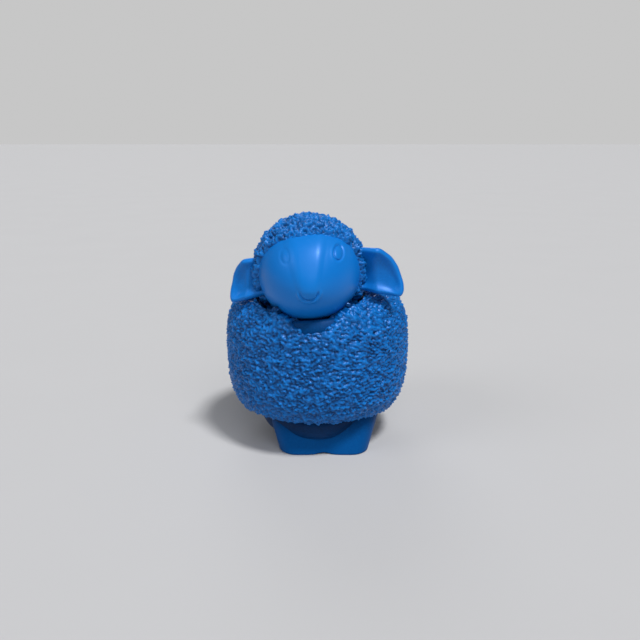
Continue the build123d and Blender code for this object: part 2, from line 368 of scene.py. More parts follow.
@dataclass(frozen=True)
class Coat:
    """A tufted coat of two layers.

    Attributes:
        tufts: The tufts.
        crumple: The crumple on them.
        sink: How far the coat is sunk into the bare form.
        crumple_share: How much of the crumple's height counts in the full height that sets the
            painted shading.
    """

    tufts: TuftField
    crumple: TuftField
    sink: float
    crumple_share: ClassVar[float] = 0.5

    def lift(self, draft: Draft, grain: Array) -> tuple[Array, Array]:
        """Works out how far the coat stands off a bare form.

        Args:
            draft: The bare form.
            grain: The direction that tufts follow at each corner.

        Returns:
            The offsets in millimetres, and the share of the full height from 0 to 1 that sets the
            painted shade and painted highlight.
        """
        normals = draft.normals()
        height = self.tufts.heights(draft.points, normals, grain)
        height = height + self.crumple.heights(draft.points, normals, grain)
        full = self.tufts.height[1] + self.crumple_share * self.crumple.height[1]
        return height - self.sink, np.clip(height / full, 0.0, 1.0)


class Signal:
    """A socket's value, which takes part in sums."""

    def __init__(self, desk: "ShaderDesk", socket: bpy.types.NodeSocket) -> None:
        """Wraps a socket of a desk's nodes."""
        self.desk = desk
        self.socket = socket

    def _sum(self, operation: str, first: Any, second: Any) -> "Signal":
        """Adds a Math node.

        Args:
            operation: The node's operation.
            first: Its first value or signal.
            second: Its second value or signal.

        Returns:
            The result.
        """
        return self.desk.add("ShaderNodeMath", {"operation": operation}, {0: first, 1: second})

    def __add__(self, other: Any) -> "Signal":
        """This plus another."""
        return self._sum("ADD", self, other)

    def __radd__(self, other: Any) -> "Signal":
        """A number plus this."""
        return self._sum("ADD", other, self)

    def __sub__(self, other: Any) -> "Signal":
        """This less another."""
        return self._sum("SUBTRACT", self, other)

    def __rsub__(self, other: Any) -> "Signal":
        """A number less this."""
        return self._sum("SUBTRACT", other, self)

    def __mul__(self, other: Any) -> "Signal":
        """This times another."""
        return self._sum("MULTIPLY", self, other)

    def __rmul__(self, other: Any) -> "Signal":
        """A number times this."""
        return self._sum("MULTIPLY", other, self)

    def __pow__(self, other: Any) -> "Signal":
        """This to a power."""
        return self._sum("POWER", self, other)


class ShaderDesk:
    """The nodes of one material, or of the world."""

    def __init__(self, owner: bpy.types.Material | bpy.types.World) -> None:
        """Takes over an owner's nodes.

        Args:
            owner: The material or the world, whose own nodes are cleared.
        """
        self.owner = owner
        owner.use_nodes = True
        self.nodes = owner.node_tree.nodes
        self.links = owner.node_tree.links
        self.nodes.clear()

    def add(
        self, kind: str, settings: dict[str, Any], sockets: dict[Any, Any], out: Any = 0
    ) -> Signal:
        """Adds one node.

        Args:
            kind: The node's type.
            settings: What is set on the node itself, or the stops of its ramp.
            sockets: Values or signals for its inputs, by number or by identifier.
            out: The output wanted, by number or by name.

        Returns:
            That output, or the first input of a node that has none.
        """
        node = self.nodes.new(kind)
        for key, value in settings.items():
            if key == "stops":
                ramp = node.color_ramp
                while len(ramp.elements) < len(value):
                    ramp.elements.new(0.5)
                for element, (position, colour) in zip(ramp.elements, value):
                    element.position = position
                    element.color = (*colour, 1.0)
            else:
                setattr(node, key, value)
        for key, value in sockets.items():
            if isinstance(key, int):
                socket = node.inputs[key]
            else:
                socket = next(each for each in node.inputs if each.identifier == key)
            if isinstance(value, Signal):
                self.links.new(value.socket, socket)
            else:
                socket.default_value = value
        return Signal(self, node.outputs[out] if len(node.outputs) else node.inputs[0])

    def noise(self, scale: float, detail: float) -> Signal:
        """Cloudy noise that stays with the piece.

        Args:
            scale: Clouds in a metre.
            detail: Octaves.

        Returns:
            Values round a half.
        """
        place = self.add("ShaderNodeTexCoord", {}, {}, "Object")
        sockets = {"Vector": place, "Scale": scale, "Detail": detail}
        return self.add("ShaderNodeTexNoise", {}, sockets)

    def mix(self, share: Any, first: Any, second: Any) -> Signal:
        """Blends two colours.

        Args:
            share: How much of the second is taken.
            first: The first colour.
            second: The second colour.

        Returns:
            The blend.
        """
        sockets = {"Factor_Float": share, "A_Color": first, "B_Color": second}
        return self.add("ShaderNodeMix", {"data_type": "RGBA"}, sockets, 2)


@dataclass(frozen=True)
class PlasticFinish:
    """A moulded plastic, with painted shade in its hollows and painted highlights on its raised
    spots.

    Attributes:
        name: The material's name.
        slot: The record's material slot; not used.
        colour: Its colour.
        painted_gap_shade: Its colour for painted shade deep in a hollow.
        painted_crest_highlight: Its colour for a painted highlight on a raised spot.
        roughness: Its mean roughness.
        shine: Level of the reflection.
        gleam: Colour of the reflection.
        grain: Depth of the fine grain in metres.
        grain_scale: Grains in a metre.
        cloud_scale: Clouds in a metre.
        cloud_detail: Octaves of the clouds.
        grain_detail: Octaves of the fine grain.
        cloud_grain: How much the clouds add to the fine grain.
        painted_shade_stops: Share of the colour over the painted shade colour, by relief.
        speckle: How much the fine grain moves those stops.
        crest_highlight_strength: How strongly the painted highlight brightens the raised spots.
        mottle: How much darker plastic the clouds bring.
        mottle_shade: Brightness of that plastic.
        roughness_spread: From the smoothest to the roughest spot.
        roughness_cloud: The clouds' part in that, against the fine grain's.
    """

    name: str
    slot: str
    colour: Triple
    painted_gap_shade: Triple
    painted_crest_highlight: Triple
    roughness: float
    shine: float
    gleam: Triple
    grain: float
    grain_scale: float
    cloud_scale: ClassVar[float] = 240.0
    cloud_detail: ClassVar[float] = 3.0
    grain_detail: ClassVar[float] = 2.0
    cloud_grain: ClassVar[float] = 0.4
    painted_shade_stops: ClassVar[tuple[Span, ...]] = ((0.0, 0.0), (0.32, 0.45), (0.7, 1.0))
    speckle: ClassVar[float] = 0.35
    crest_highlight_strength: ClassVar[float] = 1.3
    mottle: ClassVar[float] = 0.3
    mottle_shade: ClassVar[float] = 0.8
    roughness_spread: ClassVar[float] = 0.2
    roughness_cloud: ClassVar[float] = 0.6

    def material(self) -> bpy.types.Material:
        """The material, made once."""
        return bpy.data.materials.get(self.name) or self._make()

    def _make(self) -> bpy.types.Material:
        """Builds the material's nodes."""
        desk = ShaderDesk(bpy.data.materials.new(self.name))
        relief = desk.add("ShaderNodeAttribute", {"attribute_name": "relief"}, {}, "Fac")
        cloud = desk.noise(self.cloud_scale, self.cloud_detail)
        fine = desk.noise(self.grain_scale, self.grain_detail)
        # Painted shade: low relief darkens the colour towards the gap colour.
        stops = [(place, (level,) * 3) for place, level in self.painted_shade_stops]
        depth = relief + self.speckle * (fine - 0.5)
        depth = desk.add("ShaderNodeValToRGB", {"stops": stops}, {"Fac": depth}, "Color")
        colour = desk.mix(depth, (*self.painted_gap_shade, 1.0), (*self.colour, 1.0))
        # Painted highlight: high relief, broken up by the clouds, brightens the colour towards the
        # crest colour.
        colour = desk.mix(self.crest_highlight_strength * (relief**3.0) * cloud, colour, (*self.painted_crest_highlight, 1.0))
        darker = tuple(self.mottle_shade * part for part in self.colour)
        colour = desk.mix(self.mottle * cloud, colour, (*darker, 1.0))
        grain = desk.add(
            "ShaderNodeBump",
            {},
            {"Strength": 1.0, "Distance": self.grain, "Height": fine + self.cloud_grain * cloud},
        )
        uneven = self.roughness_cloud * cloud + (1.0 - self.roughness_cloud) * fine
        rough = self.roughness - self.roughness_spread / 2 + self.roughness_spread * uneven
        shader = desk.add(
            "ShaderNodeBsdfPrincipled",
            {},
            {
                "Base Color": colour,
                "Roughness": rough,
                "Normal": grain,
                "Specular IOR Level": self.shine,
                "Specular Tint": (*self.gleam, 1.0),
            },
        )
        desk.add("ShaderNodeOutputMaterial", {}, {"Surface": shader})
        return desk.owner


FLEECE = PlasticFinish(
    "blue_fleece",
    "fleece",
    colour=(0.002, 0.135, 0.48),
    painted_gap_shade=(0.0004, 0.014, 0.065),
    painted_crest_highlight=(0.006, 0.24, 0.74),
    roughness=0.32,
    shine=0.7,
    gleam=(0.3, 0.5, 1.0),
    grain=0.00006,
    grain_scale=3400.0,
)
SMOOTH = PlasticFinish(
    "blue_smooth",
    "smooth",
    colour=(0.002, 0.165, 0.58),
    painted_gap_shade=(0.0005, 0.02, 0.085),
    painted_crest_highlight=(0.004, 0.20, 0.66),
    roughness=0.38,
    shine=0.6,
    gleam=(0.32, 0.5, 1.0),
    grain=0.000006,
    grain_scale=3000.0,
)
# A darker copy of the smooth blue, as painted shade for the belly tray, the neck bowl and the feet,
# which lie in shadow under the belly and the chin.
PAINTED_SHADE_BLUE = PlasticFinish(
    "blue_painted_shade",
    "smooth",
    colour=(0.001, 0.076, 0.28),
    painted_gap_shade=(0.0003, 0.008, 0.035),
    painted_crest_highlight=(0.001, 0.092, 0.33),
    roughness=0.45,
    shine=0.15,
    gleam=(0.3, 0.5, 1.0),
    grain=0.000006,
    grain_scale=3000.0,
)
FITTING = PlasticFinish(
    "dark_fitting",
    "fittings",
    colour=(0.02, 0.06, 0.16),
    painted_gap_shade=(0.006, 0.02, 0.05),
    painted_crest_highlight=(0.05, 0.10, 0.22),
    roughness=0.5,
    shine=0.4,
    gleam=(0.8, 0.9, 1.0),
    grain=0.00001,
    grain_scale=3600.0,
)


@dataclass
class HeadFrame:
    """Where the head sits and how it leans."""

    centre: Array = field(default_factory=lambda: np.array((-1.5, -8.0, 36.5068)))
    roll: float = math.radians(3.0)
    tilt: float = math.radians(12.0)

    def __post_init__(self) -> None:
        """Works out the head's own axes: to its left, to its back and up, and the neck's."""
        sine, cosine = math.sin(self.roll), math.cos(self.roll)
        self.axes = np.array(((cosine, 0.0, sine), (0.0, 1.0, 0.0), (-sine, 0.0, cosine)))
        self.neck = math.cos(self.tilt) * self.axes[2] - math.sin(self.tilt) * self.axes[1]

    def place(self, points: Array) -> Array:
        """Points of the head's own frame, in place."""
        return points @ self.axes + self.centre


@dataclass
class FeetPair:
    """Two short feet in one moulding, in millimetres."""

    name: str
    node: str
    end: End
    # Place and section, which flares and leans over the leg's length
    aside: float = 1.3
    middle: float = 9.506
    width: float = 18.0
    depth: float = 9.0
    corner: float = 3.6
    flare: float = 2.6
    lean: float = 2.5
    leg: float = 8.5
    top: float = 8.3
    corner_points: int = 16
    ring_points: int = 200
    # Sole: height and inset of each step of its edge, and rings inside it
    sole_edge: ClassVar[tuple[Span, ...]] = ((0.0, 0.32), (0.05, 0.17), (0.14, 0.07), (0.3, 0.0))
    sole_shares: ClassVar[tuple[float, ...]] = (0.3, 0.55, 0.8, 0.94)
    straight_start: float = 0.5
    straight_rows: int = 34
    # Cleft in front between the feet, and the arch under it
    cleft: float = 0.6
    cleft_half: float = 1.9
    cleft_fade: ClassVar[Span] = (7.0, 0.5)
    cleft_front: ClassVar[Span] = (0.4, 1.0)
    arch_radius: float = 6.0
    arch_depth: float = 5.65
    arch_half: float = 2.02
    # Painted shade, which deepens under the belly
    relief: ClassVar[Span] = (0.62, 0.3)
    painted_shade_span: ClassVar[Span] = (2.5, 7.5)

    def rounded(self, half_width: float, half_depth: float, corner: float) -> Array:
        """Outline of a rectangle with round corners.

        Args:
            half_width: Half its width.
            half_depth: Half its depth.
            corner: Radius of its corners.

        Returns:
            Points round it.
        """
        points: list[Array] = []
        for turn, (x, y) in enumerate(((1, 1), (-1, 1), (-1, -1), (1, -1))):
            angle = math.pi / 2 * (turn + np.linspace(0.0, 1.0, self.corner_points))
            middle = np.array((x * (half_width - corner), y * (half_depth - corner)))
            points.append(middle + corner * np.stack([np.cos(angle), np.sin(angle)], 1))
        closed = np.concatenate([*points, points[0][:1]])
        return walk(closed, np.linspace(0.0, 1.0, self.ring_points, endpoint=False))

    def ring(self, height: float, inset: float) -> Array:
        """The pair's outline at a height.

        Args:
            height: The height.
            inset: How far it is set in there.

        Returns:
            Points round it.
        """
        sign = self.end.value
        half = self.width / 2 + self.flare * height / self.leg - inset
        across, along = self.rounded(half, self.depth / 2 - inset, self.corner - inset).T
        dip = self.cleft * bump(across, self.cleft_half)
        dip = dip * smooth_step(*self.cleft_fade, np.array(height))
        front = smooth_step(*self.cleft_front, along * sign / (self.depth / 2))
        along = along - sign * (front * dip + self.lean * height / self.leg)
        level = np.full(len(across), height)
        return np.stack([self.aside + across, sign * self.middle + along, level], 1)

    def build(self) -> Piece:
        """Makes the pair."""
        steps = np.linspace(self.straight_start, self.top, self.straight_rows)
        rows = [*self.sole_edge, *((height, 0.0) for height in steps)]
        rings = [self.ring(height, inset) for height, inset in rows]
        middle = np.array((self.aside, self.end.value * self.middle, 0.0))
        sole = [middle + (rings[0] - middle) * share for share in self.sole_shares]
        form = capped_rings(np.stack(sole + rings))
        across = np.clip(np.abs(form.points[:, 0] - self.aside), 0.0, self.arch_half)
        arch = np.maximum(np.sqrt(self.arch_radius**2 - across**2) - self.arch_depth, 0.0)
        arch = np.where(across < self.arch_half, arch, 0.0)
        form.points[:, 2] = np.maximum(form.points[:, 2], arch)
        # Painted shade: the feet darken towards their tops, under the belly.
        bright, deepening = self.relief
        form.relief = bright - deepening * smooth_step(*self.painted_shade_span, form.points[:, 2])
        return form.piece(self.name, Body.TORSO, PAINTED_SHADE_BLUE, self.node)


@dataclass
class Torso:
    """The fleece body, its underside and its tail, in millimetres."""

    head: HeadFrame
    # Egg
    radius: float = 18.8
    middle: float = 20.0004
    drop: float = 16.6004
    rise: float = 13.1976
    power: float = 3.3
    divisions: int = 134
    outline_steps: int = 1200
    # Hem: inset and lift of each step of its roll, and where the coat starts over it
    hem: float = 6.9
    hem_roll: ClassVar[tuple[Span, ...]] = ((1.7, 0.4), (0.9, -0.12), (0.25, -0.2))
    coat_start: ClassVar[Span] = (-0.1, 0.3)
    coat_edge: float = 14.9
    coat_edge_lift: float = 0.4
    grain_nudge: float = 1e-6
    # Front of the hem, lifted over the feet
    front_lift: float = 0.8
    front_span: ClassVar[Span] = (0.2, 0.9)
    front_height: float = 5.0
    # Neckline: the fleece's edge round the head, by degrees from straight ahead
    seat: float = 14.1
    side_seat: float = 11.8
    neck_turns: ClassVar[tuple[float, ...]] = (
        -64, -48, -38, -28, -18, -6, 14, 26, 36, 46, 54, 70,
    )
    neck_rises: ClassVar[tuple[float, ...]] = (
        0.0, 0.8, 1.6, 1.1, 0.4, 0.0, 0.0, 0.3, 0.9, 1.3, 0.8, 0.0,
    )
    neck_dips: ClassVar[tuple[float, ...]] = (
        0.0, 0.0, 0.0, 0.1, 0.55, 1.0, 1.0, 0.6, 0.2, 0.0, 0.0, 0.0,
    )
    neck_blend: float = 5.5
    # Painted shade on the fleece that is pushed into the head's seat
    neck_painted_shade: float = 0.25
    neck_floor: float = -8.5
    least_dip: float = 0.02
    bowl_lip: float = 0.4
    lip_cover: float = 0.5
    # Tray: inset and drop of each step of its upper edge, radius and height of each step of its
    # lower one, and height, count and start of the waves in its side
    tray_radius: float = 15.1
    tray_bottom: float = 2.9
    tray_flat: float = 11.6
    tray_overlap: float = 1.2
    tray_narrowing: float = 0.86
    tray_curve: ClassVar[tuple[Span, ...]] = ((14.3, 5.0), (13.75, 3.9), (13.3, 3.3), (12.6, 3.0))
    tray_edge: ClassVar[tuple[Span, ...]] = ((0.4, 0.0), (0.1, 0.3))
    tray_waves: ClassVar[tuple[Triple, ...]] = ((0.004, 3, 0.6), (0.003, 7, 0.0))
    tray_cover: float = 2.6
    # Painted shade on the tray: its level under the hem, and how much lighter it gets towards the
    # bottom
    tray_painted_shade: ClassVar[Span] = (0.04, 0.16)
    tray_rows: int = 90
    tray_columns: int = 192
    axis_hole: float = 0.01
    # Tail
    tail_half: ClassVar[Triple] = (3.2, 3.0, 4.2)
    tail_level: float = 15.0
    tail_stand: float = 1.9
    tail_grain: ClassVar[Triple] = (0.2, 0.1, 1.0)
    tail_divisions: int = 40
    coat: Coat = Coat(
        TuftField(0.56, (0.38, 0.85), (0.4, 0.62), (0.2, 0.56), 0.5, 11, 0.6),
        TuftField(0.37, (0.25, 0.42), (0.5, 0.9), (0.08, 0.28), 1.6, 12),
        0.32,
    )
    tail_coat: Coat = Coat(
        TuftField(0.8, (0.6, 1.0), (0.45, 0.7), (0.25, 0.55), 0.9, 21),
        TuftField(0.46, (0.3, 0.5), (0.5, 0.9), (0.06, 0.2), 1.6, 22),
        0.25,
    )

    def radius_at(self, height: Array, inset: float | Array = 0.0) -> Array:
        """Radius of the egg at a height.

        Args:
            height: The heights.
            inset: How far the form is set in.

        Returns:
            The radii.
        """
        reach = np.where(height > self.middle, self.rise, self.drop) - inset
        share = np.clip(np.abs(height - self.middle) / reach, 0.0, 1.0)
        return (self.radius - inset) * (1.0 - share**self.power) ** (1.0 / self.power)

    def outline(self) -> Array:
        """Radius and height along the fleece's outline, from under its middle to its top."""
        angle = np.linspace(-math.pi / 2, math.pi / 2, self.outline_steps)
        reach = np.where(angle > 0, self.rise, self.drop)
        bend = 2 / self.power
        heights = self.middle + reach * np.sign(angle) * np.abs(np.sin(angle)) ** bend
        radii = self.radius * np.abs(np.cos(angle)) ** bend
        edge = float(self.radius_at(np.array(self.hem)))
        roll = [(edge - inset, self.hem + lift) for inset, lift in self.hem_roll]
        above = np.stack([radii, heights], 1)[heights > self.hem]
        return np.concatenate([[(0.0, roll[0][1]), *roll], above])

    def neckline(self, points: Array) -> tuple[Array, Array]:
        """How the fleece's edge runs round the head.

        Args:
            points: Points near the head.

        Returns:
            How far the edge rises there, and how much of the full dip it has.
        """
        ahead = points - self.head.centre
        turn = np.degrees(np.arctan2(ahead[:, 0], -ahead[:, 1]))
        rise = np.interp(turn, self.neck_turns, self.neck_rises)
        return rise, np.interp(turn, self.neck_turns, self.neck_dips)

    def open_neck(self, draft: Draft) -> Array:
        """Makes room for the head in the fleece.

        Args:
            draft: The fleece, whose corners are moved.

        Returns:
            Whether each corner was pushed out of the head's seat.
        """
        centre = self.head.centre
        rise, dip = self.neckline(draft.points)
        seat = self.side_seat + (self.seat - self.side_seat) * dip
        distance = np.linalg.norm(draft.points - centre, axis=1)
        draft.points[:, 2] += rise * smooth_step(seat + self.neck_blend, seat, distance)
        offset = draft.points - centre
        distance = np.linalg.norm(offset, axis=1)
        inside = distance < seat
        outward = offset[inside] / distance[inside, None]
        draft.points[inside] = centre + outward * seat[inside, None]
        reach = np.hypot(draft.points[:, 0], draft.points[:, 1])
        limit = self.radius_at(draft.points[:, 2], self.bowl_lip + self.lip_cover)
        proud = inside & (reach > limit) & (dip > self.least_dip)
        draft.points[proud, :2] *= (limit[proud] / reach[proud])[:, None]
        return inside

    def fleece(self) -> Piece:
        """The tufted coat of the body, open where the neck bowl and the tray cover it."""
        directions, faces = cube_sphere(self.divisions)
        share = 1.0 - np.arccos(np.clip(directions[:, 2], -1, 1)) / math.pi
        radii, heights = walk(self.outline(), share).T
        flat = unit(directions * (1.0 - UP))
        ahead = smooth_step(*self.front_span, -flat[:, 1])
        low = smooth_step(self.hem + self.front_height, self.hem, heights)
        heights = heights + self.front_lift * ahead * low
        draft = Draft(flat * radii[:, None] + UP * heights[:, None], faces)
        # The tufts' height also sets their painted shade between them and painted highlight on
        # their tops.
        lift, relief = self.coat.lift(draft, np.cross(UP, flat) + self.grain_nudge)
        level = draft.points[:, 2] + self.coat_edge_lift * (radii > self.coat_edge)
        lift = lift * smooth_step(*(self.hem + start for start in self.coat_start), level)
        draft.points = draft.points + draft.normals() * lift[:, None]
        inside = self.open_neck(draft)
        # Painted shade where the fleece is pushed into the head's seat; elsewhere the tufts'
        # painted shade and highlight.
        draft.relief = np.where(inside, self.neck_painted_shade, relief)
        below = (draft.points - self.head.centre) @ self.head.neck < self.neck_floor
        covered = radii < self.tray_radius - self.tray_cover
        hidden = (inside & below) | (covered & (draft.points[:, 2] < self.middle))
        quads = np.array(faces)
        draft = draft.only(quads[~hidden[quads].all(axis=1)])
        return draft.piece("fleece_coat", Body.TORSO, FLEECE, "fleece_body")

    def tray(self) -> Piece:
        """The smooth underside, narrower across than from front to back."""
        top = self.hem + self.tray_overlap
        outline = np.array(
            (
                (self.axis_hole, top),
                *((self.tray_radius - inset, top - drop) for inset, drop in self.tray_edge),
                (self.tray_radius, self.hem),
                *self.tray_curve,
                (self.tray_flat, self.tray_bottom),
                (self.axis_hole, self.tray_bottom),
            )
        )
        radii, heights = walk(outline, np.linspace(0.0, 1.0, self.tray_rows)).T[..., None]
        turn = once_round(self.tray_columns)
        wave = 1.0 + sum(tall * np.sin(n * turn + start) for tall, n, start in self.tray_waves)
        across = radii * np.cos(turn) * wave * self.tray_narrowing
        along = radii * np.sin(turn) * wave
        form = capped_rings(np.stack(np.broadcast_arrays(across, along, heights), 2))
        # Painted shade: darkest under the hem, a little lighter towards the bottom.
        deep, brightening = self.tray_painted_shade
        low = smooth_step(self.hem, self.tray_bottom, form.points[:, 2])
        form.relief = deep + brightening * low
        return form.piece("belly_tray", Body.TORSO, PAINTED_SHADE_BLUE, "underbody")

    def tail(self) -> Piece:
        """The tuft low on the back."""
        directions, faces = cube_sphere(self.tail_divisions)
        seat = float(self.radius_at(np.array(self.tail_level)))
        middle = np.array((0.0, seat + self.tail_stand - self.tail_half[1], self.tail_level))
        draft = Draft(directions * np.array(self.tail_half) + middle, faces)
        grain = np.tile(np.array(self.tail_grain), (len(directions), 1))
        # The tufts' height also sets their painted shade between them and painted highlight on
        # their tops.
        lift, draft.relief = self.tail_coat.lift(draft, grain)
        draft.points = draft.points + draft.normals() * lift[:, None]
        return draft.piece("tail_tuft", Body.TORSO, FLEECE, "tail")

    def build(self) -> None:
        """Makes every piece of the torso."""
        self.fleece()
        self.tray()
        NeckBowl(self).build()
        FeetPair("front_feet", "front_legs", End.FRONT).build()
        FeetPair("rear_feet", "rear_legs", End.BACK).build()
        self.tail()


@dataclass
class NeckBowl:
    """The smooth bowl under the head, with the sleeve for the post, in millimetres."""

    torso: Torso
    inner: float = 11.55
    outer: float = 14.2
    hole: float = 2.05
    sleeve: float = 3.65
    sleeve_top: float = 14.0
    sleeve_end: float = 16.55
    # Lip, which is sunk under the fleece but for the neckline's dip
    sink: float = 0.7
    lip_angle: float = 2.0
    lip_swell: float = 0.22
    lip_rows: int = 9
    lip_search: ClassVar[Span] = (math.radians(75.0), math.radians(150.0))
    halvings: int = 30
    rows: int = 30
    columns: int = 220
    # Painted shade all over the bowl, which lies in the chin's shadow
    relief: float = 0.3

    def __post_init__(self) -> None:
        """Works out the directions of the spokes round the neck's axis."""
        head = self.torso.head
        turn = once_round(self.columns)[:, None]
        ahead = np.cross(head.neck, head.axes[0])
        self.spokes = np.cos(turn) * head.axes[0] + np.sin(turn) * ahead

    def at(self, reach: float, angle: Array) -> Array:
        """Points on a ball round the head's centre.

        Args:
            reach: The ball's radius.
            angle: The angle from the neck's axis on each spoke.

        Returns:
            The points.
        """
        head = self.torso.head
        along, outward = np.cos(angle)[:, None], np.sin(angle)[:, None]
        return head.centre + reach * (along * head.neck + outward * self.spokes)

    def straight(self, radius: float, depth: float) -> Array:
        """A ring round the neck's axis at a depth below the head's centre."""
        return self.torso.head.centre - depth * self.torso.head.neck + radius * self.spokes

    def rim(self, reach: float, inset: Array) -> Array:
        """Finds where a ball round the head's centre meets the set-in egg.

        Args:
            reach: The ball's radius.
            inset: How far the egg is set in on each spoke.

        Returns:
            The angles from the neck's axis.
        """
        low, high = (np.full(self.columns, angle) for angle in self.lip_search)
        for _ in range(self.halvings):
            angle = (low + high) / 2
            across, along, level = self.at(reach, angle).T
            within = np.hypot(across, along) < self.torso.radius_at(level, inset)
            within &= level < self.torso.middle + self.torso.rise - inset
            low, high = np.where(within, low, angle), np.where(within, angle, high)
        return (low + high) / 2

    def shell(self, reach: float, hole: float, inset: Array) -> list[Array]:
        """Rings over a ball, from the lip down to a hole round the neck's axis.

        Args:
            reach: The ball's radius.
            hole: The hole's radius.
            inset: How far the lip is set into the egg on each spoke.

        Returns:
            The rings.
        """
        start = self.rim(reach, inset)
        end = math.pi - math.asin(hole / reach)
        shares = np.linspace(0.0, 1.0, self.rows)
        return [self.at(reach, start + share * (end - start)) for share in shares]

    def build(self) -> Piece:
        """Makes the bowl: its inside, the sleeve, its outside and the lip between them."""
        _, dip = self.torso.neckline(self.at(self.outer, np.full(self.columns, self.lip_angle)))
        inset = self.torso.bowl_lip + self.sink * (1.0 - dip)
        rings = self.shell(self.inner, self.hole, inset)
        rings += [self.straight(self.hole, depth) for depth in (self.sleeve_top, self.sleeve_end)]
        rings += [self.straight(self.sleeve, depth) for depth in (self.sleeve_end, self.sleeve_top)]
        rings += self.shell(self.outer, self.sleeve, inset)[::-1]
        for share in np.linspace(0.0, 1.0, self.lip_rows)[1:-1]:
            reach = self.outer + share * (self.inner - self.outer)
            swell = self.lip_swell * (1 - (2 * share - 1) ** 4)
            rings.append(self.at(reach, self.rim(reach, inset - swell)))
        faces = ring_faces(len(rings), self.columns, closed=True)
        points = np.concatenate(rings)
        # The bowl gets painted shade all over.
        form = Draft(points, faces, np.full(len(points), self.relief))
        return form.piece("neck_bowl", Body.TORSO, PAINTED_SHADE_BLUE, "neck_cup")


@dataclass(frozen=True)
class EyeSpot:
    """One eye's place on the face and how deep its ring is cut."""

    side: Side
    across: float
    up: float
    depth: float


